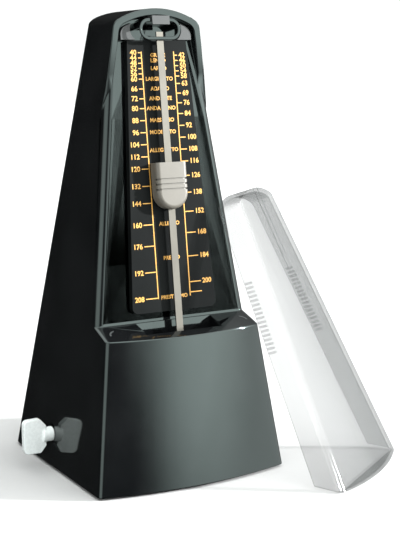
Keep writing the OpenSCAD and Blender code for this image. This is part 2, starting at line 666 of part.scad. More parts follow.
module pendulum_rod() color("#d8d4cc") on_front() translate([0, 0, -rod_back - rod_t / 2]) difference() {
    union() {
        translate([-rod_w / 2, verge_up - bob_drop - bob_r + 2, 0])
            cube([rod_w, rod_up - verge_up + bob_drop + bob_r - 2, rod_t]);
        translate([0, verge_up, 0]) cylinder(r = hub_r, h = rod_t);
    }
    translate([0, verge_up, 0]) {
        hub_hole(0, verge_r + touch_gap);
        hub_hole(hub_screw_at, hub_screw_r + screw_gap);
        hub_hole(-hub_screw_at, hub_screw_r + screw_gap);
    }
}
module counterweight() color("#6d7074") on_front()
    translate([0, verge_up - bob_drop, -rod_back]) difference() {
    translate([0, 0, -bob_t / 2]) cylinder(r = bob_r, h = bob_t);
    translate([-rod_w / 2 - touch_gap, -bob_r - 5, -rod_t / 2 - touch_gap])
        cube([rod_w + 2 * touch_gap, 2 * bob_r + 10, rod_t + 2 * touch_gap]);
}

// Sliding weight: square top, bullet-shaped bottom, three finger grooves
weight_up = up(weight_z, rod_depth);
weight_front = weight_t * 0.6;
grip_top = 7.4;
grip_pitch = 2.4;
grip_w = 0.7;
grip_depth = 0.5;
module weight_shape() {
    half = weight_w / 2;
    straight = weight_h * 0.55;
    polygon(rounded(concat([[half - 0.5, 0], [-half + 0.5, 0], [-half, -straight]],
        [for (i = [1:15]) let (a = 180 + 180 * i / 16)
            [half * cos(a), -straight + (weight_h - straight) * sin(a)]],
        [[half, -straight]]), concat([1, 1], [for (i = [0:16]) 0])));
}
module sliding_weight() color("#c9c6bb") on_front() translate([0, weight_up, -rod_back]) difference() {
    translate([0, 0, weight_front - weight_t]) linear_extrude(weight_t) weight_shape();
    translate([-rod_w / 2 - slide_gap, -weight_h - 1, -rod_t / 2 - slide_gap])
        cube([rod_w + 2 * slide_gap, weight_h + 2, rod_t + 2 * slide_gap + 0.7]);
    for (i = [0:2]) translate([-weight_w, -grip_top - grip_pitch * i, weight_front - grip_depth])
        cube([2 * weight_w, grip_w, 1]);
}
module weight_spring() color("#c9ccd0") on_front() translate([0, weight_up, -rod_back])
    translate([-rod_w / 2 + 0.4, -weight_h * 0.7, rod_t / 2 + 0.25]) cube([rod_w - 0.8, weight_h * 0.5, 0.3]);

case_shell();
base_cover();
rubber_feet();
base_screws();
scale_plate();
head_plate();
pendulum_rest();
cover_catch();
front_cover();
left_frame_plate();
right_frame_plate();
frame_pillars();
pillar_screws();
frame_screws();
front_bracket();
rear_bracket();
bracket_screws();
arbor_bushings();
winding_key();
winding_arbor();
ratchet_wheel();
click();
click_screw();
click_spring();
mainspring();
spring_post();
great_wheel();
second_arbor();
second_wheel();
escape_arbor();
crown_wheel();
pendulum_arbor();
front_pallet();
rear_pallet();
pendulum_hub();
hub_screw();
pendulum_rod();
counterweight();
sliding_weight();
weight_spring();
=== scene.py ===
# %% [markdown]
# # A key-wound pendulum metronome
# The object is a tapered, glossy black plastic case that is open at the front. A flat steel rod swings
# before a printed scale, a weight slides on the rod, a white key winds the spring, and the clear cover
# stands on the table and leans on the case. The CAD frame holds every part at its real size.
# It could be drawn again by eye, but a frame that is loaded keeps each part where its joint needs it,
# so this lesson loads it and only adds what a CAD solid leaves out: soft edges, print and finishes.

# %% Load the frame
import json
import math
import bmesh
import bpy
from mathutils import Matrix, Vector


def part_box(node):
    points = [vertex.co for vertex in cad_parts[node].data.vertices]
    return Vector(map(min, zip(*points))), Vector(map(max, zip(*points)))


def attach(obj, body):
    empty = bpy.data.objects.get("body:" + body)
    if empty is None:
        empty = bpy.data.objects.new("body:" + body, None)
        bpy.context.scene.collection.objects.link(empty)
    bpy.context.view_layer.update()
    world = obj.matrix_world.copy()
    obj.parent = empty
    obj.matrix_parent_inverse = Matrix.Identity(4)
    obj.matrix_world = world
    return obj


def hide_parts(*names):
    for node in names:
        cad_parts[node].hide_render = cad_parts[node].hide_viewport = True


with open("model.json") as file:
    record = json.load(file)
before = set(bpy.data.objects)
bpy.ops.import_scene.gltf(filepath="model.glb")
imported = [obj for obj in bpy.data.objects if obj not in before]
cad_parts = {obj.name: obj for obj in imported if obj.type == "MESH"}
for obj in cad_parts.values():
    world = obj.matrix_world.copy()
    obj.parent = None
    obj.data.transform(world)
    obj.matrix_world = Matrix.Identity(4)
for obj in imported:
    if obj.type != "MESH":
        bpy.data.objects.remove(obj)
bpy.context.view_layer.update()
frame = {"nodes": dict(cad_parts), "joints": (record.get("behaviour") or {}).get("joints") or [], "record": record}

MM = 0.001
slot_of = {row["node"]: row["material_slot"] for row in frame["record"]["subparts"]}

# %% [markdown]
# ## One way to write a material
# Blender mixes light in linear numbers, while colours are picked as sRGB hex codes, so one function
# turns the one into the other. A second small function adds a shader node, sets its values and links
# its inputs. Nodes could be added by hand each time, but the same three lines would repeat all day.

# %% Colour and node helpers
def linear(hex_code):
    channels = [int(hex_code[i:i + 2], 16) / 255 for i in (1, 3, 5)]
    return tuple(c / 12.92 if c <= 0.04045 else ((c + 0.055) / 1.055) ** 2.4 for c in channels) + (1.0,)


def add_node(tree, kind, values=None, links=None):
    node = tree.nodes.new(kind)
    for key, value in (values or {}).items():
        if hasattr(node, str(key)):
            setattr(node, key, value)
        else:
            node.inputs[key].default_value = value
    for key, socket in (links or {}).items():
        tree.links.new(socket, node.inputs[key])
    return node


print("mid grey in linear light:", round(linear("#808080")[0], 3))

# %% [markdown]
# ## What every surface of the object shares
# No moulded, painted or ground surface is one flat colour. Broad patches a few centimetres wide shift
# its tone a little, and a fine grain roughens it and lifts it by some thousandths of a millimetre.
# Both are Noise textures on Object coordinates, which are metres here, so a scale of one over the
# grain's width gives it its real size. Each finish below only says its colours and its sizes.
# Noise values crowd round a half, so their middle is stretched to the full range of tone or roughness.
# A metal keeps the default IOR. Values that are the same all over sit on the shader's own sockets.

# %% The surface recipe
MIX_FACTOR, MIX_A, MIX_B, MIX_RESULT = 0, 6, 7, 2
PATCH_LOW, PATCH_HIGH = 0.35, 0.65
GRAIN_LOW, GRAIN_HIGH = 0.3, 0.7


def surface(name, tones, rough, grain_mm, lift_mm, patch_mm=25, stretch=(1, 1, 1), sockets=None):
    material = bpy.data.materials.new(name)
    material.use_nodes = True
    tree = material.node_tree
    tree.nodes.clear()
    place = add_node(tree, "ShaderNodeTexCoord").outputs["Object"]
    fine = add_node(tree, "ShaderNodeMapping", {"Scale": [s / (grain_mm * MM) for s in stretch]},
                    {"Vector": place})
    grain = add_node(tree, "ShaderNodeTexNoise", {"Scale": 1.0, "Detail": 4.0}, {"Vector": fine.outputs[0]})
    patches = add_node(tree, "ShaderNodeTexNoise", {"Scale": 1 / (patch_mm * MM), "Detail": 3.0},
                       {"Vector": place})
    spread = add_node(tree, "ShaderNodeMapRange", {"From Min": PATCH_LOW, "From Max": PATCH_HIGH},
                      {"Value": patches.outputs[0]})
    colour = add_node(tree, "ShaderNodeMix", {"data_type": "RGBA", MIX_A: linear(tones[0]),
                                              MIX_B: linear(tones[1])}, {MIX_FACTOR: spread.outputs[0]})
    gloss = add_node(tree, "ShaderNodeMapRange", {"From Min": GRAIN_LOW, "From Max": GRAIN_HIGH,
                                                  "To Min": rough[0], "To Max": rough[1]},
                     {"Value": grain.outputs[0]})
    bump = add_node(tree, "ShaderNodeBump", {"Strength": 1.0, "Distance": lift_mm * MM},
                    {"Height": grain.outputs[0]})
    shader = add_node(tree, "ShaderNodeBsdfPrincipled", sockets,
                      {"Base Color": colour.outputs[MIX_RESULT], "Roughness": gloss.outputs[0],
                       "Normal": bump.outputs[0]})
    add_node(tree, "ShaderNodeOutputMaterial", {}, {"Surface": shader.outputs[0]})
    return material


print("part of the noise that sets the tone:", round(PATCH_HIGH - PATCH_LOW, 2))

# %% [markdown]
# ## Plastics
# The case is ABS moulded in a polished tool: almost black, mirror-like, with a slow waviness where the
# plastic shrank. A clear coat layer could stand for the polish, but plain plastic at a low roughness
# is what the real one is. Its gloss has a faint green cast, which Specular Tint gives. The scale plate
# and the head plate are the same plastic from a sparked tool, so their grain breaks the mirror up and
# leaves a dull charcoal. That grain is 0.1 mm on the real plate and is drawn at 0.35 mm, so that it
# shows. The key is white and the base cover is left matt.

# %% Plastic finishes
ABS_IOR = 1.53
GREEN_CAST = (0.82, 1.0, 0.96, 1)
finishes = {
    "gloss_black": surface("polished_black_abs", ("#08090a", "#0f1011"), (0.05, 0.09), 9, 0.004,
                           sockets={"IOR": ABS_IOR, "Specular Tint": GREEN_CAST}),
    "base_black": surface("matt_black_abs", ("#141516", "#1c1d1e"), (0.55, 0.7), 0.6, 0.02,
                          sockets={"IOR": ABS_IOR}),
    "plate_grey": surface("sparked_charcoal_abs", ("#0f1111", "#131515"), (0.38, 0.5), 0.35, 0.006,
                          sockets={"IOR": ABS_IOR, "Specular IOR Level": 0.03}),
    "head_grey": surface("sparked_grey_abs", ("#2b2e2e", "#343737"), (0.36, 0.5), 0.35, 0.006,
                         sockets={"IOR": ABS_IOR, "Specular IOR Level": 0.3}),
    "key_white": surface("moulded_white_abs", ("#e9eeed", "#dde3e2"), (0.22, 0.32), 1.2, 0.004,
                         sockets={"IOR": ABS_IOR}),
    "foot_rubber": surface("moulded_black_rubber", ("#1b1b1c", "#262627"), (0.7, 0.85), 0.5, 0.02,
                           sockets={"IOR": 1.52}),
}
print("plastics:", sorted(finishes))

# %% [markdown]
# ## Metals
# The rod is rolled steel strip, and rolling leaves fine lines along its length, so the grain is
# stretched twelve times along it. The weight is die-cast and painted a warm grey, so it shows paint
# and no metal. The frame and wheels are brass sheet, the arbors are turned steel, and the
# counterweight is rough cast iron. Both tones of a finish are kept close, and roughness does the rest.
# The rod and the weight are picked darker than they look, since a strong lamp falls on them.

# %% Metal finishes
METAL = {"Metallic": 1.0}
finishes["rod_steel"] = surface("rolled_strip_steel", ("#5f5d57", "#56544f"), (0.34, 0.46), 0.25, 0.002,
                                stretch=(1, 1, 1 / 12), sockets=METAL)
finishes["weight_grey"] = surface("warm_grey_paint", ("#5d5a53", "#55524b"), (0.36, 0.48), 0.5, 0.008,
                                  sockets={"IOR": 1.5})
finishes["brass"] = surface("brushed_brass", ("#c9a55a", "#b8924a"), (0.26, 0.42), 0.3, 0.004,
                            stretch=(1, 1 / 8, 1), sockets=METAL)
finishes["steel"] = surface("turned_steel", ("#b9bcc0", "#a6a9ad"), (0.22, 0.36), 0.3, 0.003,
                            stretch=(6, 1, 1), sockets=METAL)
finishes["screw_steel"] = surface("zinc_plated_steel", ("#a9abaf", "#94969a"), (0.28, 0.42), 0.4, 0.004,
                                  sockets=METAL)
finishes["spring_steel"] = surface("blued_spring_steel", ("#6d7480", "#565d6b"), (0.24, 0.38), 0.3, 0.003,
                                   sockets=METAL)
finishes["bob_iron"] = surface("cast_iron", ("#5c5e61", "#6a6c6f"), (0.5, 0.7), 0.7, 0.05, sockets=METAL)
print("metals added, finishes now:", len(finishes))

# %% [markdown]
# ## The clear cover's plastic
# The cover is clear polystyrene 1.6 mm thick. True refraction would be the first choice, but a lamp's
# light doesn't pass refracting glass in a plain render, and the cover would throw a black shadow. So
# the plastic is made see-through by Alpha instead. A wall seen flat on is nearly all clear, and a wall
# seen along its surface is nearly all solid, as on the real one, and Layer Weight gives that share.

# %% Clear plastic
CLEAR_FLAT, CLEAR_EDGE = 0.145, 0.6
EDGE_BLEND = 0.4
POLYSTYRENE_IOR = 1.59
clear = surface("clear_polystyrene", ("#3c3e3e", "#363838"), (0.05, 0.1), 14, 0.004,
                sockets={"IOR": POLYSTYRENE_IOR})
clear_shader = clear.node_tree.nodes["Principled BSDF"]
slant = add_node(clear.node_tree, "ShaderNodeLayerWeight", {"Blend": EDGE_BLEND})
cloud = add_node(clear.node_tree, "ShaderNodeMapRange", {"To Min": CLEAR_FLAT, "To Max": CLEAR_EDGE},
                 {"Value": slant.outputs["Facing"]})
clear.node_tree.links.new(cloud.outputs[0], clear_shader.inputs["Alpha"])
finishes["clear_plastic"] = clear
print("clear share:", CLEAR_FLAT, "to", CLEAR_EDGE)

# %% [markdown]
# ## Finishes on the CAD parts
# Each CAD node came in with one plain material. The record says which finish every node takes, so a
# loop puts the new material into the slot that is there. Small parts could be painted one by one, but
# a table that already exists can't forget one.

# %% Dress the CAD nodes
for node, part in frame["nodes"].items():
    part.data.materials.clear()
    part.data.materials.append(finishes[slot_of[node]])
print("dressed", len(frame["nodes"]), "nodes")

# %% [markdown]
# ## Soft edges on the moulded parts
# A knife-sharp edge doesn't exist in moulded plastic, and the thin highlight along a rounded edge is
# what tells the eye that a thing is solid. CAD meshes are loose triangles, so a copy is merged, its
# flat faces are joined, and the sharp edges are bevelled. A Bevel modifier could do the last step, but
# choosing the edges by their angle and their length keeps the bevel off the tiny ones. Weighted
# normals then keep the flats flat while the bevels shade round.

# %% Helpers for a softened copy
SHORT_EDGE = 0.3


def merged_copy(node, merge_mm=0.02, flat_deg=0.5):
    bm = bmesh.new()
    bm.from_mesh(frame["nodes"][node].data)
    bmesh.ops.remove_doubles(bm, verts=bm.verts, dist=merge_mm * MM)
    bmesh.ops.dissolve_limit(bm, angle_limit=math.radians(flat_deg), verts=bm.verts, edges=bm.edges)
    bmesh.ops.recalc_face_normals(bm, faces=bm.faces)
    return bm


def soften(bm, width_mm, segments=2, sharp_deg=38, wanted=lambda middle: True):
    sharp = [e for e in bm.edges if len(e.link_faces) == 2
             and e.calc_face_angle(0) > math.radians(sharp_deg)
             and e.calc_length() > SHORT_EDGE * width_mm * MM
             and wanted((e.verts[0].co + e.verts[1].co) / 2)]
    bmesh.ops.bevel(bm, geom=sharp, offset=width_mm * MM, offset_type="OFFSET", affect="EDGES",
                    segments=segments, profile=0.5, material=-1, clamp_overlap=False)
    return len(sharp)


def finished(name, bm, material, body, round_deg=50, replaces=()):
    mesh = bpy.data.meshes.new(name)
    bm.to_mesh(mesh)
    bm.free()
    mesh.materials.append(material)
    mesh.shade_smooth()
    mesh.set_sharp_from_angle(angle=math.radians(round_deg))
    piece = bpy.data.objects.new(name, mesh)
    bpy.context.scene.collection.objects.link(piece)
    normals = piece.modifiers.new("flat_faces_stay_flat", "WEIGHTED_NORMAL")
    normals.keep_sharp = True
    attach(piece, body)
    if replaces:
        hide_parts(*replaces)
    print(name, "faces:", len(mesh.polygons))
    return piece


print("shortest edge that gets a bevel:", SHORT_EDGE, "of the bevel's width")

# %% [markdown]
# ## The case
# The case is one moulding: a bowed lower block, a small sloping ledge, side walls that stand proud of
# the set-back front as a rounded rim, and a crowned top. Its edges are broken by about half a
# millimetre. Only the outer edges are softened, since nobody sees into the hollow. An edge is an outer
# one if it lies near a side wall or before the scale plate, whose front leans back as it rises. The
# edges round the pendulum's slot stay sharp, because the slot ends a quarter of a millimetre from the
# set-back front.

# %% Where the case is softened
SLOT_LOW = Vector((-20.6, -45.5, 60)) * MM
SLOT_HIGH = Vector((20.6, -33.5, 80)) * MM
RIM_MM, SIDE_BAND_MM = 5, 6
FRONT_LEAN = 0.14
case_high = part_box("case_shell")[1]
head_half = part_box("head_plate")[1].x
plate_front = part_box("scale_plate")[0].y


def in_the_slot(spot):
    return all(low < at < high for low, at, high in zip(SLOT_LOW, spot, SLOT_HIGH))


def on_the_outside(spot):
    side = case_high.x - (case_high.x - head_half - RIM_MM * MM) * spot.z / case_high.z
    outer = abs(spot.x) > side - SIDE_BAND_MM * MM or spot.y < plate_front + FRONT_LEAN * spot.z
    return outer and not in_the_slot(spot)


print("half width at the foot:", round(case_high.x / MM, 1), "mm")

# %% Soften the case
CASE_EDGE_MM = 0.5
case_bm = merged_copy("case_shell", merge_mm=0.05)
print("softened case edges:", soften(case_bm, CASE_EDGE_MM, wanted=on_the_outside))
finished("case_body", case_bm, finishes["gloss_black"], "case", replaces=["case_shell"])

# %% [markdown]
# ## The rest and the key
# The oval rest that parks the rod's tip and the winding key are what hands touch, so they have round
# edges. The rest is thinner than the key, so its bevel is narrower.

# %% Soften the small parts
REST_EDGE_MM, KEY_EDGE_MM = 0.35, 0.5
rest_bm = merged_copy("pendulum_rest")
soften(rest_bm, REST_EDGE_MM)
finished("tip_rest", rest_bm, finishes["gloss_black"], "case", replaces=["pendulum_rest"])

key_bm = merged_copy("winding_key")
soften(key_bm, KEY_EDGE_MM, segments=3)
finished("key_body", key_bm, finishes["key_white"], "winding", replaces=["winding_key"])

# %% [markdown]
# ## The sliding weight
# The weight is a small casting: square at its reading edge, round like a bullet below, with a pillowed
# front and three grip grooves. It could be cut out of a solid with booleans, but bevels tell the same
# story in fewer steps: two deep ones round the bottom, and one all round the front makes the pillow.
# The grooves are cut by planes, and the strips between the planes are pushed in. The block is made
# flat at the origin and then laid on the rod, whose lean the pendulum's joint gives.

# %% Lean of the front
swing = next(j for j in frame["joints"] if j["name"] == "pendulum_swing")
outwards = -Vector(swing["axis"]).normalized()
uphill = Vector((1, 0, 0)).cross(outwards) * -1
front_turn = Matrix((Vector((1, 0, 0)), uphill, outwards)).transposed().to_4x4()
print("uphill:", [round(v, 3) for v in uphill])


def reach(node, way):
    ends = [v.co.dot(way) for v in frame["nodes"][node].data.vertices]
    return min(ends), max(ends)


# %% The weight's block
PILLOW_MM, BULLET_SHARE = 2.0, 0.49
HAIR, MERGE = 0.01 * MM, 0.005 * MM
weight_foot, weight_top = reach("sliding_weight", uphill)
weight_back, weight_face = reach("sliding_weight", outwards)
weight_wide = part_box("sliding_weight")[1].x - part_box("sliding_weight")[0].x
weight_tall = weight_top - weight_foot
weight_bm = bmesh.new()
bmesh.ops.create_cube(weight_bm, size=1.0, matrix=Matrix.Translation(
    (0, weight_foot + weight_tall / 2, (weight_back + weight_face) / 2))
    @ Matrix.Diagonal((weight_wide, weight_tall, weight_face - weight_back, 1)))
low = [e for e in weight_bm.edges if all(v.co.y < weight_foot + MM for v in e.verts)
       and abs(e.verts[0].co.z - e.verts[1].co.z) > MM]
bmesh.ops.bevel(weight_bm, geom=low, offset=BULLET_SHARE * weight_wide, offset_type="OFFSET",
                affect="EDGES", segments=10, profile=0.5, material=-1, clamp_overlap=False)
rim = [e for e in weight_bm.edges if all(v.co.z > weight_face - HAIR for v in e.verts)
       and not all(v.co.y > weight_top - HAIR for v in e.verts)]
bmesh.ops.bevel(weight_bm, geom=rim, offset=PILLOW_MM * MM, offset_type="OFFSET",
                affect="EDGES", segments=5, profile=0.5, material=-1, clamp_overlap=False)
print("weight:", round(weight_wide / MM, 1), "mm wide,", round(weight_tall / MM, 1), "mm tall")

# %% Cut the grip grooves
GROOVES_MM, GROOVE_W_MM, GROOVE_D_MM = (7.4, 9.8, 12.2), 0.8, 0.55
STRIP_NEAR_MM, STRIP_DEEP_MM, NOT_THE_BACK = 0.3, 2.6, -0.5
for groove in GROOVES_MM:
    for height in (groove, groove + GROOVE_W_MM):
        everything = weight_bm.verts[:] + weight_bm.edges[:] + weight_bm.faces[:]
        bmesh.ops.bisect_plane(weight_bm, geom=everything, plane_co=(0, weight_top - height * MM, 0),
                               plane_no=(0, 1, 0))
    middle = weight_top - (groove + GROOVE_W_MM / 2) * MM
    strip = [f for f in weight_bm.faces
             if abs(f.calc_center_median().y - middle) < STRIP_NEAR_MM * MM
             and f.calc_center_median().z > weight_face - STRIP_DEEP_MM * MM
             and f.normal.z > NOT_THE_BACK]
    sunk = bmesh.ops.extrude_face_region(weight_bm, geom=strip)["geom"]
    bmesh.ops.delete(weight_bm, geom=strip, context="FACES")
    for v in sunk:
        if isinstance(v, bmesh.types.BMVert):
            v.co.z -= GROOVE_D_MM * MM
            v.co.x *= 1 - 2 * GROOVE_D_MM * MM / weight_wide
bmesh.ops.remove_doubles(weight_bm, verts=weight_bm.verts, dist=MERGE)
bmesh.ops.recalc_face_normals(weight_bm, faces=weight_bm.faces)
bmesh.ops.transform(weight_bm, matrix=front_turn, verts=weight_bm.verts)
finished("weight_body", weight_bm, finishes["weight_grey"], "weight",
         replaces=["sliding_weight"])

# %% [markdown]
# ## The clear cover
# The cover is a shallow tray with a row of grip ribs near the free edge of each side wall. Its walls
# are softened like the case. The ribs are short bars. They could be a texture, but they catch the
# light one by one, so each is a small bevelled block, turned and moved with the cover's own pose. The
# cover's mirror image would draw a hard upright line on the polished block, so it is hidden from
# glossy rays.

# %% Soften the cover
COVER_EDGE_MM = 0.3
cover_bm = merged_copy("front_cover", merge_mm=0.03)
print("softened cover edges:", soften(cover_bm, COVER_EDGE_MM))
clear_cover = finished("clear_cover", cover_bm, finishes["clear_plastic"], "cover",
                       replaces=["front_cover"])
clear_cover.visible_glossy = False

# %% [markdown]
# The ribs are placed as if the cover were closed on the case, where its walls lean by known slopes.
# One matrix then takes them along to where the cover stands: its lowest point goes to the table.

# %% Grip ribs
COVER_TURN = Matrix.Rotation(math.radians(33.7), 4, "Z") @ Matrix.Rotation(math.radians(-17.8), 4, "X")
COVER_FOOT = Vector((81.8, -82.4, 0.66)) * MM
COVER_LOW = Vector((0, -46.36, 72.0)) * MM
cover_pose = Matrix.Translation(COVER_FOOT) @ COVER_TURN @ Matrix.Translation(-COVER_LOW)
HALF_WIDTH_MM, FRONT_MM, TRAY_DEEP_MM = 50, -55, 12.4
SIDE_SLOPE, FRONT_SLOPE = 0.1273, 0.12
RIB_COUNT, RIB_FIRST_Z, RIB_PITCH, RIB_INSET = 17, 141.5, 2.15, 2.6
RIB_SIZE = (0.9, 4.0, 1.0)
RIB_EDGE_MM = 0.2
rib_shape = Matrix.Diagonal([s * MM for s in RIB_SIZE] + [1])
ribs = bmesh.new()
for step in range(RIB_COUNT):
    z = RIB_FIRST_Z + RIB_PITCH * step
    wall_x = HALF_WIDTH_MM - SIDE_SLOPE * z - RIB_INSET
    back_y = FRONT_MM + FRONT_SLOPE * z + TRAY_DEEP_MM
    for side in (-1, 1):
        spot = Matrix.Translation(Vector((side * wall_x, back_y - RIB_INSET, z)) * MM)
        turn = Matrix.Rotation(-side * math.atan(SIDE_SLOPE), 4, "Y")
        bmesh.ops.create_cube(ribs, size=1.0, matrix=cover_pose @ spot @ turn @ rib_shape)
soften(ribs, RIB_EDGE_MM, segments=1)
bmesh.ops.recalc_face_normals(ribs, faces=ribs.faces)
cover_grips = finished("cover_grips", ribs, finishes["clear_plastic"], "cover")
cover_grips.visible_glossy = False

# %% [markdown]
# ## The cover's seats on the ledge
# Two shallow crescents on the ledge take the feet of the closed cover. Each is a low curved rib, and a
# curved rib is a small rectangle swept round a centre, which is what the spin operator does.

# %% Crescents on the ledge
LEDGE_RISE_MM, LEDGE_DEEP_MM = 76 - 71.3, 11.9
SEAT_R_MM, SEAT_LIFT_MM, SEAT_SIZE = 3.4, 0.1, (0.8 * MM, 0.4 * MM, 1, 1)
SEAT_X_MM, SEAT_Y_MM, SEAT_Z_MM = 33, -42.6, 73.0
ledge_lean = math.atan2(LEDGE_RISE_MM, LEDGE_DEEP_MM)
crescents = bmesh.new()
for side in (-1, 1):
    start = len(crescents.verts)
    upright_section = Matrix.Rotation(math.radians(90), 4, "X") @ Matrix.Diagonal(SEAT_SIZE)
    profile = bmesh.ops.create_grid(
        crescents, x_segments=1, y_segments=1, size=0.5,
        matrix=Matrix.Translation(Vector((SEAT_R_MM, 0, SEAT_LIFT_MM)) * MM) @ upright_section)["verts"]
    faces = list({f for v in profile for f in v.link_faces})
    edges = list({e for v in profile for e in v.link_edges})
    bmesh.ops.spin(crescents, geom=profile + edges + faces, cent=(0, 0, 0), axis=(0, 0, 1),
                   dvec=(0, 0, 0), angle=math.radians(180), steps=16, use_duplicate=False)
    crescents.verts.ensure_lookup_table()
    seat = (Matrix.Translation(Vector((side * SEAT_X_MM, SEAT_Y_MM, SEAT_Z_MM)) * MM)
            @ Matrix.Rotation(ledge_lean, 4, "X"))
    bmesh.ops.transform(crescents, matrix=seat, verts=crescents.verts[start:])
bmesh.ops.remove_doubles(crescents, verts=crescents.verts, dist=MERGE)
bmesh.ops.recalc_face_normals(crescents, faces=crescents.faces)
finished("cover_seats", crescents, finishes["head_grey"], "case", round_deg=30)

# %% [markdown]
# ## The printed scale
# The tempo scale is screen-printed in gold ink: two upright lines, a short mark for every tempo, the
# numbers outside the marks and the Italian tempo words between the lines. An image texture could show
# it, but real outlines stay sharp at any distance. Text objects are made a mesh first, then laid on
# the plate. The pendulum's arbor stands square to the plate, so its joint gives the plate's lean.

# %% The plate's own plane
plate_level = reach("scale_plate", outwards)[1]
INK_MM = 0.03


def plate_spot(x_mm, z_mm):
    z = z_mm * MM
    y = (plate_level + INK_MM * MM - outwards.z * z) / outwards.y
    return Matrix.Translation((x_mm * MM, y, z)) @ front_turn


print("plate level:", round(plate_level / MM, 2), "mm")

# %% [markdown]
# The marks crowd together at the slow end near the top, as on every pendulum scale. Their heights are
# known at eight tempos, and the marks between them are spread evenly by the tempo's rank in the list.

# %% Heights of the marks
LEFT = [40, 44, 48, 52, 56, 60, 66, 72, 80, 88, 96, 104, 112, 120, 132, 144, 160, 176, 192, 208]
RIGHT = [42, 46, 50, 54, 58, 63, 69, 76, 84, 92, 100, 108, 116, 126, 138, 152, 168, 184, 200]
KNOWN = [(40, 201.5), (60, 189.3), (80, 175.7), (104, 159.0), (120, 147.7), (144, 131.7), (176, 111.7),
         (208, 87.2)]
ranks = sorted(LEFT + RIGHT)


def mark_height(tempo):
    rank = sum(r < tempo for r in ranks)
    for (slow, high), (fast, low) in zip(KNOWN, KNOWN[1:]):
        if tempo <= fast:
            first, last = ranks.index(slow), ranks.index(fast)
            return high + (low - high) * (rank - first) / (last - first)
    return KNOWN[-1][1]


print("height of mark 100:", round(mark_height(100), 1), "mm")

# %% A bar and a word of ink
INK_SPREAD_MM = 0.08
NO_LIMIT_MM = 99
INK_MERGE_MM = 0.002
ink_bm = bmesh.new()


def bar(x0, x1, z0, z1):
    spot = plate_spot((x0 + x1) / 2, (z0 + z1) / 2)
    rise = (z1 - z0) / uphill.z
    bmesh.ops.create_cube(ink_bm, size=1.0,
                          matrix=spot @ Matrix.Diagonal((abs(x1 - x0) * MM, rise * MM, INK_MM * MM, 1)))


def letter(text, size_mm, align, x_mm, z_mm, widest_mm=NO_LIMIT_MM):
    curve = bpy.data.curves.new("lettering", "FONT")
    curve.body = text
    curve.size = size_mm
    curve.align_x = align
    curve.align_y = "CENTER"
    curve.resolution_u = 3
    curve.extrude = INK_MM / 2
    curve.offset = INK_SPREAD_MM
    holder = bpy.data.objects.new("lettering", curve)
    bpy.context.scene.collection.objects.link(holder)
    bpy.context.view_layer.update()
    mesh = bpy.data.meshes.new_from_object(holder)
    width = max(v.co.x for v in mesh.vertices) - min(v.co.x for v in mesh.vertices)
    squeeze = min(1, widest_mm / width)
    mesh.transform(plate_spot(x_mm, z_mm) @ Matrix.Diagonal((squeeze * MM, MM, MM, 1)))
    ink_bm.from_mesh(mesh)
    bpy.data.meshes.remove(mesh)
    bpy.data.objects.remove(holder)


print("ink thickness:", INK_MM, "mm")

# %% [markdown]
# The marks run from the upright lines outwards, and they get longer towards the foot, as the plate
# gets wider. Each word is squeezed until it fits between the lines.

# %% Lines, marks, numbers and words
LINE_X, LINE_T, MARK_T = 8.55, 0.5, 0.45
LINE_LOW, LINE_HIGH, LAST_MARK = 86.8, 202, 88.5
END_LOW, END_HIGH, LOW_Z, HIGH_Z = 15.1, 10.3, 87, 201
NUMBER_MM, NUMBER_GAP, WORD_MM, WORD_MARGIN = 3.3, 0.8, 2.5, 1.6
WORDS = [("GRAVE", 42), ("LENTO", 46), ("LARGO", 51), ("LARGHETTO", 60), ("ADAGIO", 66),
         ("ANDANTE", 72), ("ANDANTINO", 80), ("MAESTOSO", 88), ("MODERATO", 96),
         ("ALLEGRETTO", 105), ("ALLEGRO", 158), ("PRESTO", 183), ("PRESTISSIMO", 204)]


def mark_end(z):
    return END_LOW + (END_HIGH - END_LOW) * (z - LOW_Z) / (HIGH_Z - LOW_Z)


for side in (-1, 1):
    bar(side * LINE_X - LINE_T / 2, side * LINE_X + LINE_T / 2, LINE_LOW, LINE_HIGH)
    for tempo in LEFT if side < 0 else RIGHT:
        z = mark_height(tempo)
        bar(side * LINE_X, side * mark_end(z), z - MARK_T / 2, z + MARK_T / 2)
        letter(str(tempo), NUMBER_MM, "RIGHT" if side < 0 else "LEFT",
               side * (mark_end(z) + NUMBER_GAP), z)
bar(LINE_X, mark_end(LAST_MARK), LAST_MARK - MARK_T / 2, LAST_MARK + MARK_T / 2)
for word, tempo in WORDS:
    letter(word, WORD_MM, "CENTER", 0, mark_height(tempo), widest_mm=2 * LINE_X - WORD_MARGIN)
bmesh.ops.remove_doubles(ink_bm, verts=ink_bm.verts, dist=INK_MERGE_MM * MM)
bmesh.ops.recalc_face_normals(ink_bm, faces=ink_bm.faces)
print("faces of ink:", len(ink_bm.faces))

# %% [markdown]
# ## Gold ink
# Screen-printed gold is a pigment in a satin binder, warmer than brass and hardly a mirror, so it is
# mostly a plain colour with a little metal in it. The screen's weave leaves a mottle 0.4 mm wide.

# %% Finish the print
ink = surface("screen_printed_gold", ("#b98a3a", "#ab7e32"), (0.4, 0.55), 0.4, 0.004, patch_mm=6,
              sockets={"Metallic": 0.15})
finished("scale_print", ink_bm, ink, "case", round_deg=20)

# %% [markdown]
# ## The floor
# A pale table top carries the object and its soft shadow. It is a plain plane, far larger than the
# view. It is hidden from mirror reflections, as black cards hide it in a studio, so that the polished
# case stays black.

